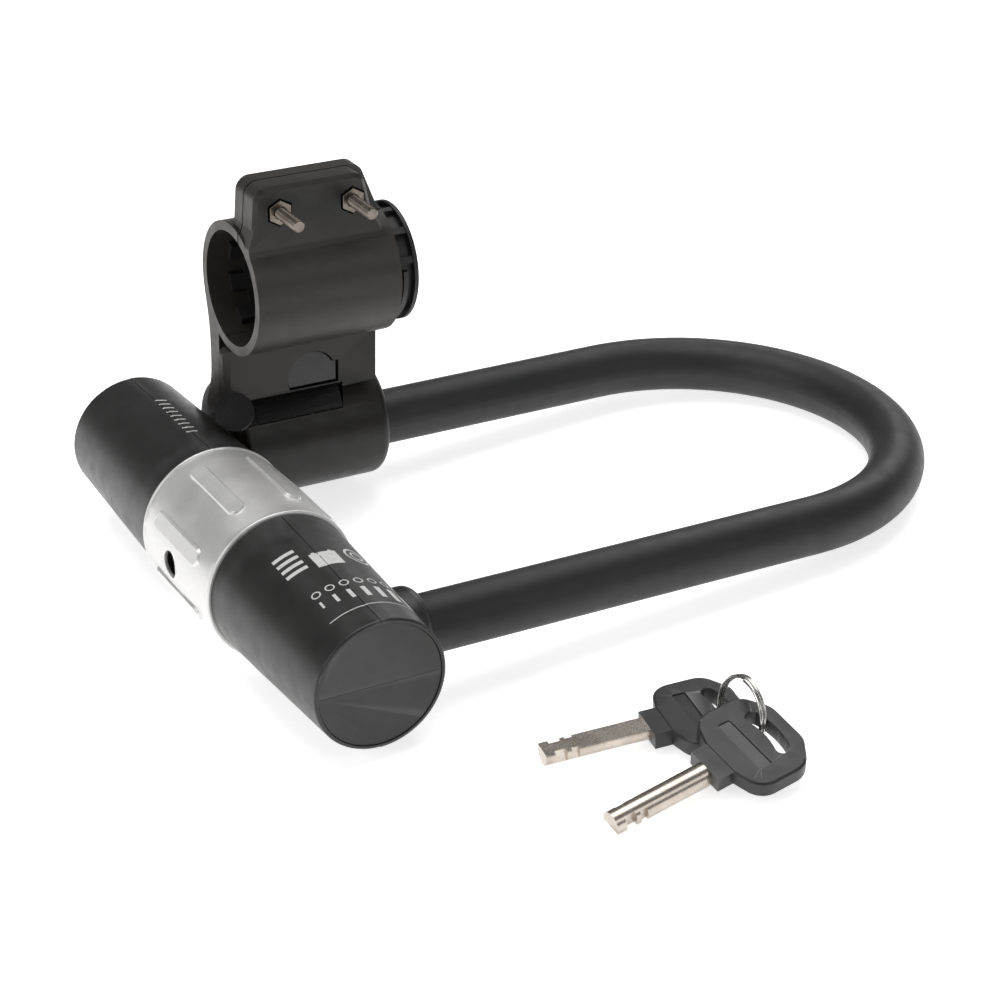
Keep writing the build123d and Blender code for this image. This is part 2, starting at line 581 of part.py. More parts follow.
with BuildPart() as holder_shell:
    with BuildSketch(x_plane(HOLDER_START, LEG_Y, HOLDER_Z)):
        Circle(HOLDER_R)
    extrude(amount=HOLDER_END - HOLDER_START)
    fillet(holder_shell.edges().group_by(Axis.X)[-1], 3.0)
    fillet(holder_shell.edges().group_by(Axis.X)[0], 1.2)
    with BuildSketch(y_plane(PLATE_FRONT)) as plate_outline:
        Polygon(
            (PLATE_START, 17.5), (HOLDER_START + 0.5, 17.5), (HOLDER_START + 0.5, 8.0),
            (PLATE_END - 1.5, 8.0), (PLATE_END, 20.0), (PLATE_END, PLATE_TOP),
            (PLATE_START, PLATE_TOP), align=None)
        top_corners = plate_outline.vertices().group_by(Axis.Y)[-1]
        fillet(top_corners, 2.5)
    extrude(amount=-(PLATE_BACK - PLATE_FRONT))
    with BuildSketch(Plane.XY.offset(PLATE_TOP)):
        Polygon((PLATE_START, PLATE_FRONT), (PLATE_START + PLATE_BEVEL, PLATE_FRONT),
                (PLATE_START, PLATE_FRONT + PLATE_BEVEL), align=None)
    extrude(amount=-PLATE_TOP, mode=Mode.SUBTRACT)
    add(window_prism(0), mode=Mode.SUBTRACT)
    # Dovetail slot for the clamp's tongue, open at both ends.
    with BuildSketch(x_plane(PLATE_START - 1)):
        Polygon(
            (PLATE_BACK, SLOT_FLOOR), (73.7, SLOT_FLOOR), (70.0, 23.5), (70.0, PLATE_TOP + 5),
            (PLATE_BACK, PLATE_TOP + 5), (PLATE_BACK, RAIL_TOP), (RAIL_BACK, RAIL_TOP),
            (RAIL_BACK, RAIL_TOP - 3.2), (PLATE_BACK, RAIL_TOP - 5.2), align=None)
    extrude(amount=HOLDER_END, mode=Mode.SUBTRACT)
    # Pocket that the lever lies in, with a V-shaped gap at its right end.
    with BuildSketch(lever_plane(POCKET_FLOOR)):
        Polygon(
            (PLATE_START - 2, -POCKET_HALF), (LEVER_END - 0.1, -POCKET_HALF),
            (LEVER_END + 2.4, POCKET_HALF), (PLATE_START - 2, POCKET_HALF), align=None)
    extrude(amount=POCKET_DEPTH, mode=Mode.SUBTRACT)
    with Locations(pivot_plane(0)):
        Cylinder(PIN_R + 0.02, 2 * PIN_HALF + 0.1, mode=Mode.SUBTRACT)
    # Bore for the bush, opened out for its flanges and for the crossbar's collar.
    with Locations((HOLDER_START - 1, LEG_Y, 0)):
        Cylinder(HOLDER_BORE_R, HOLDER_END, rotation=ALONG_X, mode=Mode.SUBTRACT,
                 align=(Align.CENTER, Align.CENTER, Align.MIN))
        Cylinder(COLLAR_R + 0.4, BUSH_START + BUSH_FLANGE_T + 0.05 - HOLDER_START + 1, rotation=ALONG_X,
                 mode=Mode.SUBTRACT, align=(Align.CENTER, Align.CENTER, Align.MIN))
    with Locations((BUSH_END - BUSH_FLANGE_T - 0.05, LEG_Y, 0)):
        Cylinder(BUSH_FLANGE_R + 0.3, HOLDER_END, rotation=ALONG_X, mode=Mode.SUBTRACT,
                 align=(Align.CENTER, Align.CENTER, Align.MIN))
holder_shell.part.label = "holder_shell"
lock_pieces.append(holder_shell)

# ================================================================ bracket: release lever
with BuildPart() as release_lever:
    with BuildSketch(lever_plane(LEVER_BACK)):
        Polygon(
            (LEVER_START, -LEVER_HALF), (LEVER_END - 0.4, -LEVER_HALF),
            (LEVER_END + 0.7, LEVER_HALF), (LEVER_START, LEVER_HALF), align=None)
    extrude(amount=6.0)
    with Locations((0, LEG_Y, HOLDER_Z)):
        Cylinder(LEVER_R, 4 * LEVER_START, rotation=ALONG_X, mode=Mode.INTERSECT,
                 align=(Align.CENTER, Align.CENTER, Align.MIN))
    with Locations(pivot_plane(0)):
        Cylinder(EAR_R, 2 * LEVER_HALF)
        Cylinder(PIN_R + 0.05, 2 * PIN_HALF, mode=Mode.SUBTRACT)
    with Locations(pivot_plane(0)):
        with Locations((0, -COIL_R - 2 * COIL_WIRE, 0)):
            Box(2 * EAR_R + 1, 3 * EAR_R, COIL_LENGTH + 1.0, mode=Mode.SUBTRACT,
                align=(Align.CENTER, Align.MIN, Align.CENTER))
    # The arm bends out of the pocket to the thumb paddle.
    arm_root = HOLDER_AXIS_AT + LEVER_OUT * 18.95 + Vector(LEVER_START + 1.0, 0, 0)
    arm_tip = PADDLE_AT + Vector(1.6, 0.5, -0.3)
    with BuildSketch(Plane(arm_root, x_dir=LEVER_UP, z_dir=(-1, 0, 0))):
        Rectangle(2 * LEVER_HALF, 2.6)
    with BuildSketch(Plane(arm_tip, x_dir=LEVER_UP, z_dir=(-0.62, -0.66, 0.42))):
        Rectangle(2 * LEVER_HALF, 2.0)
    loft()
    with BuildSketch(Plane(PADDLE_AT, x_dir=LEVER_UP, z_dir=PADDLE_FACE)):
        Circle(PADDLE_R)
    extrude(amount=PADDLE_T / 2, both=True)
release_lever.part.label = "release_lever"
lock_pieces.append(release_lever)

with BuildPart() as lever_pin:
    with Locations(pivot_plane(0)):
        Cylinder(PIN_R, 2 * PIN_HALF)
lever_pin.part.label = "lever_pin"
lock_pieces.append(lever_pin)

with BuildPart() as lever_spring:
    with BuildLine() as spring_path:
        spring_coil = Helix(pitch=COIL_PITCH, height=COIL_LENGTH, radius=COIL_R)
    with BuildSketch(Plane(spring_coil @ 0, z_dir=spring_coil % 0)):
        Circle(COIL_WIRE)
    sweep(path=spring_path.wires()[0], is_frenet=True)
lever_spring.part = lever_spring.part.moved(pivot_plane(-COIL_LENGTH / 2).location)
lever_spring.part.label = "lever_spring"
lock_pieces.append(lever_spring)

# ================================================================ bracket: frame clamp
FLANGE_LEFT = [
    (CLAMP_START, 74.0), (CLAMP_START, 78.5), (CLAMP_START + 1.6, 84.0), (CLAMP_START + 2.4, FLANGE_TOP)]
FRONT_FLANGE_RIGHT = [(58.6, FLANGE_TOP), (61.2, 86.5), (CLAMP_END - 3.5, 79.5), (CLAMP_END - 0.5, 74.0)]
REAR_FLANGE_RIGHT = [(61.0, FLANGE_TOP), (CLAMP_END - 2.0, 84.0), (CLAMP_END, 80.0), (CLAMP_END, 74.0)]

with BuildPart() as clamp_front:
    with BuildSketch(x_plane(CLAMP_START)):
        with Locations((CLAMP_Y, CLAMP_Z)):
            Circle(CLAMP_R)
        Polygon(
            (SPLIT_TOP - SPLIT_GAP / 2, CLAMP_Z), (SPLIT_TOP - SPLIT_GAP / 2, 120), (0, 120), (0, 0),
            (SPLIT_BOTTOM - 0.1, 0), (SPLIT_BOTTOM - 0.1, CLAMP_Z), align=None, mode=Mode.INTERSECT)
    extrude(amount=CLAMP_END - CLAMP_START)
    with BuildSketch(y_plane(FLANGE_FRONT)) as front_flange:
        Polygon(*FLANGE_LEFT, *FRONT_FLANGE_RIGHT, align=None)
        fillet(front_flange.vertices().group_by(Axis.Y)[-1], FLANGE_ROUND)
    extrude(amount=-(SPLIT_TOP - SPLIT_GAP / 2 - FLANGE_FRONT))
    front_rim = clamp_front.edges().filter_by_position(
        Axis.Y, FLANGE_FRONT - 0.05, FLANGE_FRONT + 0.05).filter_by_position(Axis.Z, 83, 120)
    chamfer(front_rim, FLANGE_SOFT)
    with Locations((CLAMP_START, CLAMP_Y, CLAMP_Z)):
        Cylinder(CLAMP_BORE_R, CLAMP_END - CLAMP_START, rotation=ALONG_X, mode=Mode.SUBTRACT,
                 align=(Align.CENTER, Align.CENTER, Align.MIN))
    shoulder = clamp_front.edges().filter_by(Axis.X).filter_by_position(
        Axis.Y, FLANGE_FRONT - 0.05, FLANGE_FRONT + 0.05).filter_by_position(Axis.Z, 75, 78)
    fillet(shoulder, FLANGE_BLEND)
    for screw_x in SCREW_X:
        with Locations((screw_x, FLANGE_FRONT, SCREW_Z)):
            Cylinder(SCREW_R + 0.25, 20.0, rotation=ALONG_Y, mode=Mode.SUBTRACT)
        with BuildSketch(y_plane(FLANGE_FRONT)):
            with Locations((screw_x, SCREW_Z)):
                RegularPolygon(NUT_RECESS_FLATS / 2, 6, major_radius=False, rotation=30)
        extrude(amount=-NUT_RECESS, mode=Mode.SUBTRACT)
clamp_front.part.label = "clamp_front"
lock_pieces.append(clamp_front)

with BuildPart() as clamp_rear:
    with BuildSketch(x_plane(CLAMP_START)):
        with Locations((CLAMP_Y, CLAMP_Z)):
            Circle(CLAMP_R)
        Polygon(
            (SPLIT_TOP + SPLIT_GAP / 2, CLAMP_Z), (SPLIT_TOP + SPLIT_GAP / 2, 120), (100, 120), (100, 0),
            (SPLIT_BOTTOM + 0.1, 0), (SPLIT_BOTTOM + 0.1, CLAMP_Z), align=None, mode=Mode.INTERSECT)
        with BuildLine():
            tongue_front = Polyline(
                (66.0, CLAMP_Z), (TONGUE_FRONT, 44.0), (TONGUE_FRONT, 18.9), (58.8, 16.9),
                (58.8, TONGUE_FLOOR), (73.2, TONGUE_FLOOR), (69.4, 24.2))
            waist = ThreePointArc(tongue_front @ 1, (68.9, 33.5), (70.0, 44.5))
            back = Spline(waist @ 1, (CLAMP_Y + CLAMP_R, CLAMP_Z), tangents=(waist % 1, (0, 1)))
            Line(back @ 1, tongue_front @ 0)
        make_face()
    extrude(amount=CLAMP_END - CLAMP_START)
    with BuildSketch(y_plane(SPLIT_TOP + SPLIT_GAP / 2)) as rear_flange:
        Polygon(*FLANGE_LEFT, *REAR_FLANGE_RIGHT, align=None)
        fillet(rear_flange.vertices().group_by(Axis.Y)[-1], FLANGE_ROUND)
    extrude(amount=-(FLANGE_BACK - SPLIT_TOP - SPLIT_GAP / 2))
    with Locations((CLAMP_START, CLAMP_Y, CLAMP_Z)):
        Cylinder(CLAMP_BORE_R, CLAMP_END - CLAMP_START, rotation=ALONG_X, mode=Mode.SUBTRACT,
                 align=(Align.CENTER, Align.CENTER, Align.MIN))
    for screw_x in SCREW_X:
        with Locations((screw_x, FLANGE_BACK, SCREW_Z)):
            Cylinder(SCREW_R + 0.25, 20.0, rotation=ALONG_Y, mode=Mode.SUBTRACT)
clamp_rear.part.label = "clamp_rear"
lock_pieces.append(clamp_rear)

with BuildPart() as catch_pad:
    add(window_prism(PAD_GAP))
    with BuildSketch(y_plane(PLATE_FRONT)):
        Rectangle(4 * PLATE_END, 4 * PLATE_TOP)
    extrude(amount=-PAD_SUNK, mode=Mode.SUBTRACT)
    fillet(catch_pad.edges().group_by(Axis.Y)[0], PAD_ROUND)
catch_pad.part.label = "catch_pad"
lock_pieces.append(catch_pad)

with BuildPart() as clamp_screws:
    for screw_x in SCREW_X:
        with Locations((screw_x, SCREW_TIP, SCREW_Z)):
            Cylinder(SCREW_R, FLANGE_BACK - SCREW_TIP, rotation=ALONG_Y,
                     align=(Align.CENTER, Align.CENTER, Align.MIN))
        with Locations((screw_x, FLANGE_BACK, SCREW_Z)):
            Cylinder(SCREW_HEAD_R, SCREW_HEAD_T, rotation=ALONG_Y,
                     align=(Align.CENTER, Align.CENTER, Align.MIN))
        with BuildSketch(y_plane(FLANGE_BACK + SCREW_HEAD_T, facing=1)):
            with Locations((screw_x, -SCREW_Z)):
                RegularPolygon(SCREW_SOCKET_R, 6)
        extrude(amount=-2.2, mode=Mode.SUBTRACT)
clamp_screws.part.label = "clamp_screws"
lock_pieces.append(clamp_screws)

with BuildPart() as clamp_nuts:
    with BuildSketch(y_plane(FLANGE_FRONT + NUT_RECESS)):
        with Locations(*[(screw_x, SCREW_Z) for screw_x in SCREW_X]):
            RegularPolygon(NUT_FLATS / 2, 6, major_radius=False, rotation=30)
            Circle(SCREW_R + 0.03, mode=Mode.SUBTRACT)
    extrude(amount=NUT_T)
clamp_nuts.part.label = "clamp_nuts"
lock_pieces.append(clamp_nuts)

with BuildPart() as clamp_insert:
    with BuildSketch(x_plane(INSERT_START, CLAMP_Y, CLAMP_Z)):
        Circle(INSERT_R)
    extrude(amount=CLAMP_END - INSERT_START)
    with BuildSketch(x_plane(CLAMP_END, CLAMP_Y, CLAMP_Z)):
        Circle(INSERT_R - 1.2)
    extrude(amount=INSERT_END - CLAMP_END)
    with BuildSketch(x_plane(INSERT_END - INSERT_FLANGE_T, CLAMP_Y, CLAMP_Z)):
        Circle(INSERT_FLANGE_R)
    extrude(amount=INSERT_FLANGE_T)
    # An inner collar runs round the lower part; square ribs stand in the upper part.
    with BuildSketch(x_plane(CLAMP_END + 1.9, CLAMP_Y, CLAMP_Z)):
        Circle(INSERT_FLANGE_R - 0.4)
        with Locations((0, 3.0)):
            Rectangle(3 * INSERT_R, INSERT_R, align=(Align.CENTER, Align.MIN), mode=Mode.SUBTRACT)
    extrude(amount=INSERT_COLLAR_T)
    with BuildSketch(x_plane(CLAMP_END, CLAMP_Y, CLAMP_Z)):
        with PolarLocations(INSERT_R - 0.9, INSERT_RIBS // 2, start_angle=40, angular_range=120, endpoint=True):
            Rectangle(2.8, 2.2)
    extrude(amount=INSERT_END - CLAMP_END - INSERT_FLANGE_T)
    with BuildSketch(x_plane(INSERT_START, CLAMP_Y, CLAMP_Z)):
        with PolarLocations(INSERT_R, INSERT_TEETH):
            Rectangle(3 * (INSERT_R - INSERT_BORE_R), 5.0)
    extrude(amount=INSERT_TOOTH, mode=Mode.SUBTRACT)
    with Locations((INSERT_START, CLAMP_Y, CLAMP_Z)):
        Cylinder(INSERT_BORE_R, INSERT_END - INSERT_START, rotation=ALONG_X, mode=Mode.SUBTRACT,
                 align=(Align.CENTER, Align.CENTER, Align.MIN))
    for groove_x in INSERT_GROOVES:
        with Locations((groove_x, CLAMP_Y, CLAMP_Z)):
            Cylinder(INSERT_BORE_R + 0.7, 2.0, rotation=ALONG_X, mode=Mode.SUBTRACT)
clamp_insert.part.label = "clamp_insert"
lock_pieces.append(clamp_insert)


# ================================================================ keys
def key_plane(x, y, z, heading, rise, roll, flipped=False):
    """A key's own frame: x from the blade to the head, y across, z out of the head's face."""
    along = Vector(cos(radians(heading)) * cos(radians(rise)),
                   sin(radians(heading)) * cos(radians(rise)), sin(radians(rise)))
    across = Vector(-sin(radians(heading)), cos(radians(heading)), 0)
    across = across * cos(radians(roll)) + along.cross(across) * sin(radians(roll))
    face = along.cross(across)
    if flipped:
        face = face * -1
    return Plane((x, y, z), x_dir=along, z_dir=face)


KEY_PLANES = {
    "1": key_plane(65.5, -149.8, 6.8, 4.0, 5.9, 13.0),
    "2": key_plane(64.6, -122.0, 4.8, -9.5, 1.2, 1.4, flipped=True),
}

for number, key_frame in KEY_PLANES.items():
    with BuildPart(key_frame) as key_head:
        with BuildSketch(key_frame.offset(-KEY_T / 2)) as head_outline:
            Polygon(*HEAD_SIDE, *[(x, -y) for x, y in reversed(HEAD_SIDE)], align=None)
            fillet(head_outline.vertices().filter_by_position(Axis.X, KEY_COLLAR, KEY_END + 1), HEAD_ROUND)
        extrude(amount=KEY_T)
        fillet(key_head.edges().filter_by(key_frame), KEY_ROUND)
        with Locations((KEY_COLLAR / 2, 0, 0)):
            Box(KEY_COLLAR, 2 * KEY_COLLAR_HALF, KEY_T - 0.4)
        with BuildSketch(key_frame.offset(-KEY_T / 2)):
            with BuildLine(mode=Mode.PRIVATE):
                slot_middle = ThreePointArc(
                    (SLOT_X - SLOT_BOW, -SLOT_HALF), (SLOT_X, 0), (SLOT_X - SLOT_BOW, SLOT_HALF))
            SlotArc(slot_middle, SLOT_W)
            with Locations((INLAY_X, 0)):
                RectangleRounded(INLAY_W, INLAY_L, INLAY_ROUND)
        extrude(amount=KEY_T, mode=Mode.SUBTRACT)
        Box(BLADE_ROOT, TANG_W, TANG_T, align=(Align.MIN, Align.CENTER, Align.CENTER), mode=Mode.SUBTRACT)
    key_head.part.label = f"key_head_{number}"
    floor_pieces.append(key_head)

    with BuildPart(key_frame) as key_inlay:
        with BuildSketch(key_frame.offset(INLAY_DEPTH - KEY_T / 2)):
            with Locations((INLAY_X, 0)):
                RectangleRounded(INLAY_W - 0.02, INLAY_L - 0.02, INLAY_ROUND)
        extrude(amount=KEY_T - 2 * INLAY_DEPTH)
    key_inlay.part.label = f"key_inlay_{number}"
    floor_pieces.append(key_inlay)

    with BuildPart(key_frame) as key_blade:
        with Locations((0, 0, -(BLADE_R + BLADE_FLAT) / 2)):
            Cylinder(BLADE_R, BLADE_LENGTH, rotation=(0, -90, 0), align=(Align.CENTER, Align.CENTER, Align.MIN))
        with Locations((0, 0, -(BLADE_R - BLADE_FLAT) / 2)):
            Box(2 * BLADE_LENGTH, 2 * BLADE_R, BLADE_R, mode=Mode.SUBTRACT,
                align=(Align.CENTER, Align.CENTER, Align.MAX))
        for from_tip, cut_length, cut_depth in BLADE_CUTS:
            with Locations((from_tip - BLADE_LENGTH, BLADE_R - cut_depth, 0)):
                Box(cut_length, BLADE_R, 3 * BLADE_R, mode=Mode.SUBTRACT,
                    align=(Align.MIN, Align.MIN, Align.CENTER))
            with Locations((from_tip - BLADE_LENGTH, cut_depth - BLADE_R, 0)):
                Box(cut_length, BLADE_R, 3 * BLADE_R, mode=Mode.SUBTRACT,
                    align=(Align.MIN, Align.MAX, Align.CENTER))
        Box(BLADE_ROOT, TANG_W, TANG_T, align=(Align.MIN, Align.CENTER, Align.CENTER))
    key_blade.part.label = f"key_blade_{number}"
    floor_pieces.append(key_blade)

# The split ring: two turns of round wire through both heads' slots.
with BuildPart() as split_ring:
    with BuildLine() as ring_path:
        ring_turns = Helix(pitch=RING_PITCH, height=2 * RING_PITCH, radius=RING_R)
    with BuildSketch(Plane(ring_turns @ 0, z_dir=ring_turns % 0)):
        Circle(RING_WIRE)
    sweep(path=ring_path.wires()[0], is_frenet=True)
split_ring.part = split_ring.part.moved(RING_PLANE.offset(-RING_PITCH).location)
split_ring.part.label = "split_ring"
floor_pieces.append(split_ring)

# ================================================================ export
for piece in lock_pieces:
    piece.part = piece.part.moved(LOCK_SEAT)

for piece in lock_pieces + floor_pieces:
    export_step(piece.part, f"parts/{piece.part.label}.step")
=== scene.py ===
import math

import bmesh
import bpy
from mathutils import Matrix, Vector


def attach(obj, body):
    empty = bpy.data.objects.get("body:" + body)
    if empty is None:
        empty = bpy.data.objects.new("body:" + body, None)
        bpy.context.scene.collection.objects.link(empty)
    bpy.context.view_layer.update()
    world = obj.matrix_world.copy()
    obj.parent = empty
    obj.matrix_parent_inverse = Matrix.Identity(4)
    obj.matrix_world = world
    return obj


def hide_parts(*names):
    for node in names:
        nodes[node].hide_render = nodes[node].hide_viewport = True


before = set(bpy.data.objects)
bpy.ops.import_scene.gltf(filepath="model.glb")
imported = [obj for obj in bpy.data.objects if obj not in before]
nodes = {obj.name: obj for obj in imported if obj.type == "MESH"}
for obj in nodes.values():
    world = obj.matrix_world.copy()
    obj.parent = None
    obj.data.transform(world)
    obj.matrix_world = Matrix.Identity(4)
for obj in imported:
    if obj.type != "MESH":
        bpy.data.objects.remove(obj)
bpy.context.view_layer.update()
MM = 0.001

# ------------------------------------------------------------------ the lock's own axes
# X along the shackle's legs, Y along the crossbar, origin on the crossbar's axis.
SLEEVE_R = 24.1
COAT_R = 9.0
LEG_LENGTH = 160.9
BEND_R = 64.4
TILT = math.asin((SLEEVE_R - COAT_R) / (LEG_LENGTH + BEND_R))
SEAT = Matrix.Translation((0, 0, SLEEVE_R * MM)) @ Matrix.Rotation(TILT, 4, "Y")


def lock(x, y, z):
    """A point given in the lock's axes in millimetres, in the row frame in metres."""
    return SEAT @ Vector((x * MM, y * MM, z * MM))


# ------------------------------------------------------------------ materials
def node_tree(name):
    material = bpy.data.materials.new(name)
    material.use_nodes = True
    tree = material.node_tree
    shader = tree.nodes["Principled BSDF"]
    where = tree.nodes.new("ShaderNodeTexCoord").outputs["Object"]
    return material, tree, shader, where


def noise(tree, where, scale, detail=3.0, rough=0.55, stretch=None):
    """Noise with features `scale` millimetres across, stretched along an axis if asked."""
    if stretch:
        turn = tree.nodes.new("ShaderNodeMapping")
        turn.inputs["Scale"].default_value = stretch
        tree.links.new(where, turn.inputs["Vector"])
        where = turn.outputs["Vector"]
    texture = tree.nodes.new("ShaderNodeTexNoise")
    texture.inputs["Scale"].default_value = 1 / (scale * MM)
    texture.inputs["Detail"].default_value = detail
    texture.inputs["Roughness"].default_value = rough
    tree.links.new(where, texture.inputs["Vector"])
    return texture.outputs["Fac"]


def spread(tree, value, low, high, start=0.3, end=0.7):
    """The value's start to end mapped to low to high."""
    ranged = tree.nodes.new("ShaderNodeMapRange")
    ranged.inputs["From Min"].default_value = start
    ranged.inputs["From Max"].default_value = end
    ranged.inputs["To Min"].default_value = low
    ranged.inputs["To Max"].default_value = high
    tree.links.new(value, ranged.inputs["Value"])
    return ranged.outputs["Result"]


def mix(tree, factor, first, second):
    """Two colours mixed by a value; each is a colour or another node's output."""
    blend = tree.nodes.new("ShaderNodeMix")
    blend.data_type = "RGBA"
    tree.links.new(factor, blend.inputs["Factor"])
    for index, colour in ((6, first), (7, second)):
        if isinstance(colour, tuple):
            blend.inputs[index].default_value = (*colour, 1)
        else:
            tree.links.new(colour, blend.inputs[index])
    return blend.outputs[2]


def bumps(tree, shader, layers):
    """Stacks bump layers, each (height output, depth in millimetres)."""
    before = None
    for height, depth in layers:
        bump = tree.nodes.new("ShaderNodeBump")
        bump.inputs["Distance"].default_value = depth * MM
        bump.inputs["Strength"].default_value = 1.0
        tree.links.new(height, bump.inputs["Height"])
        if before:
            tree.links.new(before, bump.inputs["Normal"])
        before = bump.outputs["Normal"]
    tree.links.new(before, shader.inputs["Normal"])


def edge_lightening(tree, amount_low, amount_high):
    """Rises on convex edges."""
    sharp = tree.nodes.new("ShaderNodeNewGeometry").outputs["Pointiness"]
    return spread(tree, sharp, 0.0, 1.0, amount_low, amount_high)


def plastic(name, dark, light, rough, grain=0.35, depth=0.012, edge_colour=None, specular=0.5, blotch=14.0):
    """Moulded plastic: colour that drifts a little, a fine spark-eroded grain and a lighter colour on
    convex edges.
    """
    material, tree, shader, where = node_tree(name)
    drift = noise(tree, where, blotch, 4.0)
    colour = mix(tree, spread(tree, drift, 0, 1), dark, light)
    # Convex edges made lighter in colour.
    if edge_colour:
        colour = mix(tree, edge_lightening(tree, 0.52, 0.60), colour, edge_colour)
    tree.links.new(colour, shader.inputs["Base Color"])
    fine = noise(tree, where, grain, 2.0, 0.6)
    coarse = noise(tree, where, blotch * 0.35, 3.0)
    tree.links.new(spread(tree, coarse, rough[0], rough[1]), shader.inputs["Roughness"])
    bumps(tree, shader, [(coarse, depth * 2.0), (fine, depth)])
    shader.inputs["Specular IOR Level"].default_value = specular
    return material


def metal(name, dark, light, rough, grain=0.5, depth=0.004, stretch=None):
    """Plated or bare metal: tone that drifts, a fine grain that may be stretched, and uneven polish."""
    material, tree, shader, where = node_tree(name)
    shader.inputs["Metallic"].default_value = 1.0
    drift = noise(tree, where, 6.0, 4.0)
    tree.links.new(mix(tree, spread(tree, drift, 0, 1), dark, light), shader.inputs["Base Color"])
    fine = noise(tree, where, grain, 4.0, 0.7, stretch)
    tree.links.new(spread(tree, fine, rough[0], rough[1]), shader.inputs["Roughness"])
    bumps(tree, shader, [(fine, depth), (drift, depth * 1.5)])
    return material


COVER = plastic("cover_plastic", (0.012, 0.0115, 0.011), (0.019, 0.018, 0.0175), (0.33, 0.44),
                0.3, 0.012, (0.05, 0.05, 0.05))
CAP = plastic("cap_plastic", (0.013, 0.0125, 0.012), (0.02, 0.019, 0.019), (0.42, 0.52),
              0.4, 0.018, (0.05, 0.05, 0.05))
BRACKET = plastic("bracket_nylon", (0.0050, 0.0043, 0.0036), (0.0105, 0.0086, 0.0072), (0.34, 0.48),
                  0.55, 0.035, (0.032, 0.027, 0.022), specular=0.38)
INSERT = plastic("insert_plastic", (0.008, 0.008, 0.008), (0.014, 0.013, 0.013), (0.42, 0.55),
                 0.4, 0.015)
LEVER = plastic("lever_gloss", (0.006, 0.006, 0.006), (0.010, 0.009, 0.009), (0.17, 0.28),
                0.8, 0.01, (0.03, 0.03, 0.03))
KEY_HEAD = plastic("key_head_plastic", (0.013, 0.013, 0.013), (0.019, 0.019, 0.019), (0.36, 0.46),
                    0.25, 0.006, (0.17, 0.17, 0.17), blotch=16.0)
KEY_INLAY = plastic("key_inlay_plastic", (0.02, 0.02, 0.021), (0.028, 0.028, 0.03), (0.24, 0.34),
                    0.3, 0.003, blotch=18.0)
STEEL = metal("turned_steel", (0.34, 0.34, 0.35), (0.5, 0.5, 0.5), (0.25, 0.45), 0.4)
BRASS = metal("stamped_brass", (0.5, 0.36, 0.16), (0.62, 0.47, 0.22), (0.25, 0.45), 0.4)
NICKEL = metal("nickel_plate", (0.42, 0.37, 0.32), (0.58, 0.53, 0.47), (0.17, 0.36),
               0.35, 0.006, (1.0, 3.0, 3.0))
DARK_NICKEL = metal("dark_nickel", (0.14, 0.12, 0.10), (0.25, 0.22, 0.19), (0.22, 0.42), 0.4, 0.006)
RING = metal("ring_wire", (0.52, 0.51, 0.49), (0.70, 0.69, 0.67), (0.14, 0.30), 0.3, 0.004)
# The core's own olive-brown tint, made darker with painted shade, as it looks deep under the keyhole.
SHADED_CORE = metal("core_steel_painted_shade", (0.12, 0.105, 0.07), (0.26, 0.235, 0.17), (0.28, 0.5), 0.3, 0.006)


def coat_rubber():
    """Vinyl coat: matt, gently uneven, with a fine grain."""
    material, tree, shader, where = node_tree("coat_vinyl")
    drift = noise(tree, where, 22.0, 5.0)
    colour = mix(tree, spread(tree, drift, 0, 1), (0.0095, 0.0095, 0.0098), (0.016, 0.016, 0.016))
    tree.links.new(colour, shader.inputs["Base Color"])
    fine = noise(tree, where, 0.5, 3.0, 0.6)
    skin = noise(tree, where, 5.0, 4.0, 0.6)
    tree.links.new(spread(tree, skin, 0.44, 0.56), shader.inputs["Roughness"])
    bumps(tree, shader, [(drift, 0.05), (skin, 0.02), (fine, 0.010)])
    shader.inputs["Specular IOR Level"].default_value = 0.42
    shader.inputs["Sheen Weight"].default_value = 0.05
    return material


def silver_paint():
    """Satin silver paint: metal flake under a soft clear layer, with painted highlights that make the
    rims and ribs brighter.
    """
    material, tree, shader, where = node_tree("sleeve_paint")
    flake = tree.nodes.new("ShaderNodeTexVoronoi")
    flake.inputs["Scale"].default_value = 1 / (0.16 * MM)
    tree.links.new(where, flake.inputs["Vector"])
    drift = noise(tree, where, 9.0, 4.0)
    sparkle = spread(tree, flake.outputs["Distance"], 0, 1, 0.1, 0.7)
    body = mix(tree, sparkle, (0.80, 0.795, 0.785), (0.64, 0.635, 0.63))
    body = mix(tree, spread(tree, drift, 0, 0.35), body, (0.84, 0.835, 0.825))
    # Painted highlight: the convex rims and ribs lightened nearly to white.
    body = mix(tree, edge_lightening(tree, 0.53, 0.62), body, (0.97, 0.96, 0.94))
    tree.links.new(body, shader.inputs["Base Color"])
    shader.inputs["Metallic"].default_value = 0.60
    tree.links.new(spread(tree, drift, 0.36, 0.46), shader.inputs["Roughness"])
    bumps(tree, shader, [(flake.outputs["Distance"], 0.006), (drift, 0.02)])
    shader.inputs["Coat Weight"].default_value = 0.25
    shader.inputs["Coat Roughness"].default_value = 0.28
    return material


def white_ink():
    """Pad-printed ink, a little thin and rubbed in places."""
    material, tree, shader, where = node_tree("print_ink")
    rub = noise(tree, where, 0.9, 4.0, 0.7)
    colour = mix(tree, spread(tree, rub, 0, 1, 0.56, 0.74), (0.66, 0.66, 0.65), (0.28, 0.28, 0.28))
    tree.links.new(colour, shader.inputs["Base Color"])
    tree.links.new(spread(tree, rub, 0.42, 0.6), shader.inputs["Roughness"])
    bumps(tree, shader, [(rub, 0.01)])
    return material


COAT = coat_rubber()
SILVER = silver_paint()
INK = white_ink()

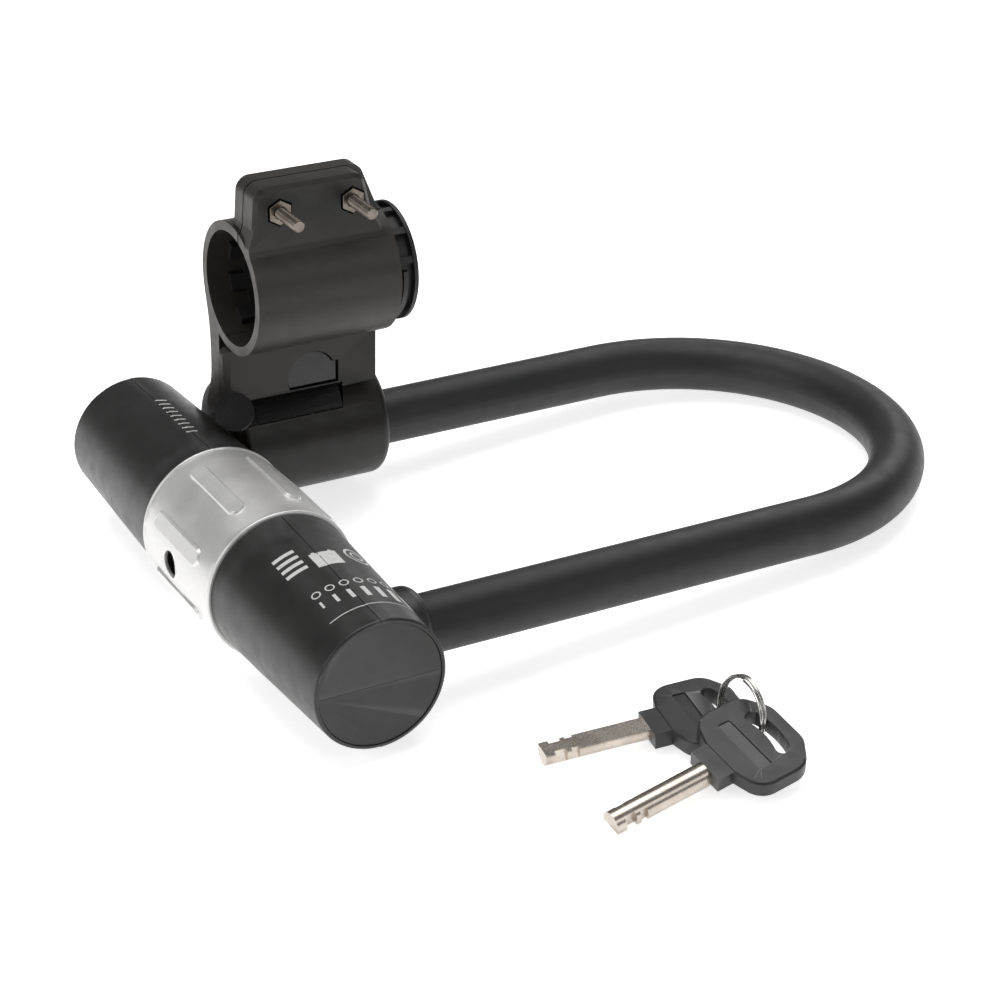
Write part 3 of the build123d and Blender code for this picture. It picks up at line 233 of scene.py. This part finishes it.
FINISH = {
    COVER: ["cover_front", "cover_rear"],
    CAP: ["end_cap_near", "end_cap_far"],
    BRACKET: ["holder_shell", "clamp_rear", "clamp_front", "leg_bush"],
    INSERT: ["clamp_insert"],
    LEVER: ["release_lever", "catch_pad"],
    KEY_HEAD: ["key_head_1", "key_head_2"],
    KEY_INLAY: ["key_inlay_1", "key_inlay_2"],
    STEEL: ["crossbar_tube", "end_plug_near", "end_plug_far", "leg_socket_near", "leg_socket_far",
            "bolt_guide_near", "bolt_guide_far", "lock_housing", "housing_pin", "disc_spacers", "sidebar",
            "bolt_cam", "deadbolt_near", "deadbolt_far", "shackle_bar", "lever_pin", "lever_spring"],
    BRASS: ["detainer_discs"],
    SHADED_CORE: ["lock_core"],
    COAT: ["shackle_coat"],
    SILVER: ["dust_sleeve"],
    NICKEL: ["key_blade_1", "key_blade_2"],
    RING: ["split_ring"],
    DARK_NICKEL: ["clamp_screws", "clamp_nuts"],
}
SMOOTH_ANGLE = math.radians(32)


def paint(obj, material):
    obj.data.materials.clear()
    obj.data.materials.append(material)
    for polygon in obj.data.polygons:
        polygon.material_index = 0


for material, names in FINISH.items():
    for name in names:
        paint(nodes[name], material)


# ------------------------------------------------------------------ mesh helpers
def new_piece(name, body, material, points, faces, smooth=True):
    mesh = bpy.data.meshes.new(name)
    mesh.from_pydata([tuple(point) for point in points], [], faces)
    work = bmesh.new()
    work.from_mesh(mesh)
    bmesh.ops.recalc_face_normals(work, faces=work.faces)
    work.to_mesh(mesh)
    work.free()
    if smooth:
        mesh.set_sharp_from_angle(angle=SMOOTH_ANGLE)
        for polygon in mesh.polygons:
            polygon.use_smooth = True
    obj = bpy.data.objects.new(name, mesh)
    bpy.context.scene.collection.objects.link(obj)
    paint(obj, material)
    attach(obj, body)
    return obj


# ------------------------------------------------------------------ clamp screws, with threads
SCREW_X = (30.5, 54.8)
SCREW_Z = 89.0
THREAD_R = 1.95
ROOT_R = 1.62
PITCH = 0.7
TIP_Y = 24.5
SEAT_Y = 51.8
HEAD_T = 3.4
HEAD_R = 3.5
SOCKET_R = 1.73
AROUND = 28


def thread_radius(y, turn):
    """The thread's radius at a place along the screw and round it; the last turn fades into a chamfer."""
    phase = (y / PITCH - turn) % 1.0
    height = 1 - abs(2 * phase - 1)
    height = min(1.0, max(0.0, height * 1.35 - 0.12))
    chamfer = min(1.0, (y - TIP_Y + 0.25) / 0.8)
    return min(ROOT_R + (THREAD_R - ROOT_R) * height, ROOT_R - 0.25 + chamfer * 0.75)


def screw(x_at):
    """Rings from the tip to the bottom of the head's hexagon socket."""
    rings = []
    y = TIP_Y
    while y < SEAT_Y:
        rings.append([(thread_radius(y, k / AROUND), 2 * math.pi * k / AROUND, y) for k in range(AROUND)])
        y += PITCH / 8
    profile = [(HEAD_R - 0.25, SEAT_Y), (HEAD_R, SEAT_Y + 0.25), (HEAD_R, SEAT_Y + HEAD_T - 0.5),
               (HEAD_R - 0.15, SEAT_Y + HEAD_T - 0.15), (HEAD_R - 0.5, SEAT_Y + HEAD_T)]
    for radius, y in profile:
        rings.append([(radius, 2 * math.pi * k / AROUND, y) for k in range(AROUND)])
    for y in (SEAT_Y + HEAD_T, SEAT_Y + 1.2):
        ring = []
        for k in range(AROUND):
            angle = 2 * math.pi * k / AROUND
            side = (angle % (math.pi / 3)) - math.pi / 6
            ring.append((SOCKET_R * math.cos(math.pi / 6) / math.cos(side), angle, y))
        rings.append(ring)
    points = [lock(x_at + r * math.cos(a), y, SCREW_Z + r * math.sin(a))
              for ring in rings for r, a, y in ring]
    faces = []
    for row in range(len(rings) - 1):
        for k in range(AROUND):
            after = (k + 1) % AROUND
            faces.append((row * AROUND + k, row * AROUND + after,
                          (row + 1) * AROUND + after, (row + 1) * AROUND + k))
    faces.append(tuple(range(AROUND)))
    faces.append(tuple((len(rings) - 1) * AROUND + k for k in range(AROUND)))
    return points, faces


screw_points, screw_faces = [], []
for x_at in SCREW_X:
    points, faces = screw(x_at)
    base = len(screw_points)
    screw_points += points
    screw_faces += [tuple(base + index for index in face) for face in faces]
threaded = new_piece("threaded_screws", "clamp", DARK_NICKEL, screw_points, screw_faces)
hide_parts("clamp_screws")

# ------------------------------------------------------------------ printed marks on the cover
INK_PROUD = 0.05
REAR_PROUD = 0.15


SLEEVE_MIDDLE = -1.2
COVER_START = 24.4
COVER_R = 22.65
COVER_END_R = 20.1
COVER_LENGTH = 64.5


def cover_point(around, y):
    """A point on the cover, `around` millimetres from the top seam towards the front, y along it."""
    beyond = abs(y - SLEEVE_MIDDLE) - COVER_START
    radius = COVER_R + (COVER_END_R - COVER_R) * beyond / COVER_LENGTH
    angle = math.pi / 2 + around / radius
    radius += INK_PROUD + (REAR_PROUD if around < 0 else 0)
    return lock(radius * math.cos(angle), y, radius * math.sin(angle))


class Marks:
    """Collects flat marks and lays them on the cover."""

    def __init__(self):
        self.points, self.faces = [], []

    def strip(self, left, right):
        """A band between two lines of points given as (around, y)."""
        base = len(self.points)
        for pair in zip(left, right):
            self.points += [cover_point(*spot) for spot in pair]
        for k in range(len(left) - 1):
            low = base + 2 * k
            self.faces.append((low, low + 1, low + 3, low + 2))

    def arc(self, centre, radius, width, start=0.0, end=360.0, steps=28):
        angles = [math.radians(start + (end - start) * k / steps) for k in range(steps + 1)]
        inner, outer = [], []
        for a in angles:
            for line, r in ((inner, radius - width / 2), (outer, radius + width / 2)):
                line.append((centre[0] + r * math.cos(a), centre[1] + r * math.sin(a)))
        self.strip(inner, outer)

    def bar(self, start, end, width_start, width_end=None, steps=8):
        width_end = width_start if width_end is None else width_end
        along = Vector((end[0] - start[0], end[1] - start[1]))
        across = Vector((-along.y, along.x)).normalized()
        left, right = [], []
        for k in range(steps + 1):
            share = k / steps
            middle = Vector(start) + along * share
            half = across * (width_start + (width_end - width_start) * share) / 2
            left.append(tuple(middle - half))
            right.append(tuple(middle + half))
        self.strip(left, right)


# A plain security scale: a row of rings, a fan of bars that thicken, and a padlock sign.
marks = Marks()
for k in range(7):
    marks.arc((9.0 - k * 4.4, -66.5), 1.25, 0.42)
    marks.bar((9.6 - k * 4.4, -70.0), (9.6 - k * 4.4, -70.0 - 3.0 - k * 0.75), 0.7 + 0.28 * k)
marks.bar((11.5, -79.6), (-19.0, -79.6), 0.35, steps=30)
for k in range(4):
    marks.bar((12.0, -44.0 - 3.1 * k), (5.0, -44.0 - 3.1 * k), 1.5)
marks.arc((-1.5, -48.0), 2.6, 1.0, 180, 360)
marks.bar((-5.6, -52.3), (2.6, -52.3), 7.4, steps=10)
marks.arc((-12.5, -50.0), 3.8, 0.8)
marks.arc((-12.5, -50.0), 1.9, 0.7)
new_piece("cover_marks_near", "crossbar", INK, marks.points, marks.faces, smooth=False)

far_marks = Marks()
for k in range(9):
    far_marks.bar((-2.0 - 0.15 * k, 39.0 + 3.4 * k), (1.4 - 0.15 * k, 40.1 + 3.4 * k), 0.7)
new_piece("cover_marks_far", "crossbar", INK, far_marks.points, far_marks.faces, smooth=False)

# ------------------------------------------------------------------ softened edges on the CAD nodes
SOFT_EDGES = {"clamp_nuts": 0.2, "release_lever": 0.3, "key_head_1": 0.15, "key_head_2": 0.15,
              "dust_sleeve": 0.12}
for name, width in SOFT_EDGES.items():
    weld = nodes[name].modifiers.new("weld", "WELD")
    weld.merge_threshold = 0.000002
    bevel = nodes[name].modifiers.new("soft_edges", "BEVEL")
    bevel.width = width * MM
    bevel.segments = 2
    bevel.limit_method = "ANGLE"
    bevel.angle_limit = math.radians(40)
    bevel.harden_normals = True

# ------------------------------------------------------------------ floor, lights and camera
floor_mesh = bpy.data.meshes.new("studio_floor")
floor_mesh.from_pydata([(-4, -4, 0), (4, -4, 0), (4, 4, 0), (-4, 4, 0)], [], [(0, 1, 2, 3)])
floor = bpy.data.objects.new("studio_floor", floor_mesh)
bpy.context.scene.collection.objects.link(floor)
floor_material, tree, shader, where = node_tree("floor_paper")
paper = noise(tree, where, 40.0, 3.0)
tree.links.new(mix(tree, paper, (0.90, 0.90, 0.90), (0.93, 0.93, 0.93)), shader.inputs["Base Color"])
shader.inputs["Roughness"].default_value = 0.9
shader.inputs["Specular IOR Level"].default_value = 0.1
shader.inputs["Emission Color"].default_value = (1, 1, 1, 1)
shader.inputs["Emission Strength"].default_value = 0.70
floor.data.materials.append(floor_material)


def softbox(name, at, aim, size, power):
    data = bpy.data.lights.new(name, "AREA")
    data.shape = "RECTANGLE"
    data.size, data.size_y = size
    data.energy = power
    obj = bpy.data.objects.new(name, data)
    bpy.context.scene.collection.objects.link(obj)
    obj.location = at
    obj.rotation_mode = "QUATERNION"
    obj.rotation_quaternion = (Vector(aim) - Vector(at)).to_track_quat("-Z", "Y")


softbox("overhead", (0.15, 0.25, 1.3), (0.08, 0, 0), (1.3, 0.9), 11)
softbox("left", (-1.2, -0.2, 0.75), (0.05, 0, 0.03), (0.8, 0.7), 5.5)
softbox("front", (0.5, -1.4, 0.9), (0.08, 0, 0), (0.9, 0.6), 2.8)
softbox("right_back", (1.2, 0.8, 0.8), (0.08, 0, 0.02), (0.8, 0.5), 4.5)

world = bpy.data.worlds.new("studio")
bpy.context.scene.world = world
world.use_nodes = True
world.node_tree.nodes["Background"].inputs["Color"].default_value = (1, 1, 1, 1)
world.node_tree.nodes["Background"].inputs["Strength"].default_value = 0.17
bpy.context.scene.view_settings.view_transform = "Standard"

CAMERA_AT = Vector((-0.261978, -0.651609, 0.42093))
CAMERA_RIGHT = Vector((0.87142, -0.48918, -0.03648))
CAMERA_UP = Vector((0.26381, 0.40466, 0.87559))
camera_data = bpy.data.cameras.new("camera")
camera_data.lens = 96.64
camera_data.sensor_width = 36
camera_data.clip_start = 0.05
camera_data.clip_end = 20
camera = bpy.data.objects.new("camera", camera_data)
bpy.context.scene.collection.objects.link(camera)
back = CAMERA_RIGHT.cross(CAMERA_UP).normalized()
turn = Matrix((CAMERA_RIGHT, CAMERA_UP, back)).transposed()
camera.matrix_world = Matrix.Translation(CAMERA_AT) @ turn.to_4x4()
bpy.context.scene.camera = camera

bpy.context.view_layer.update()
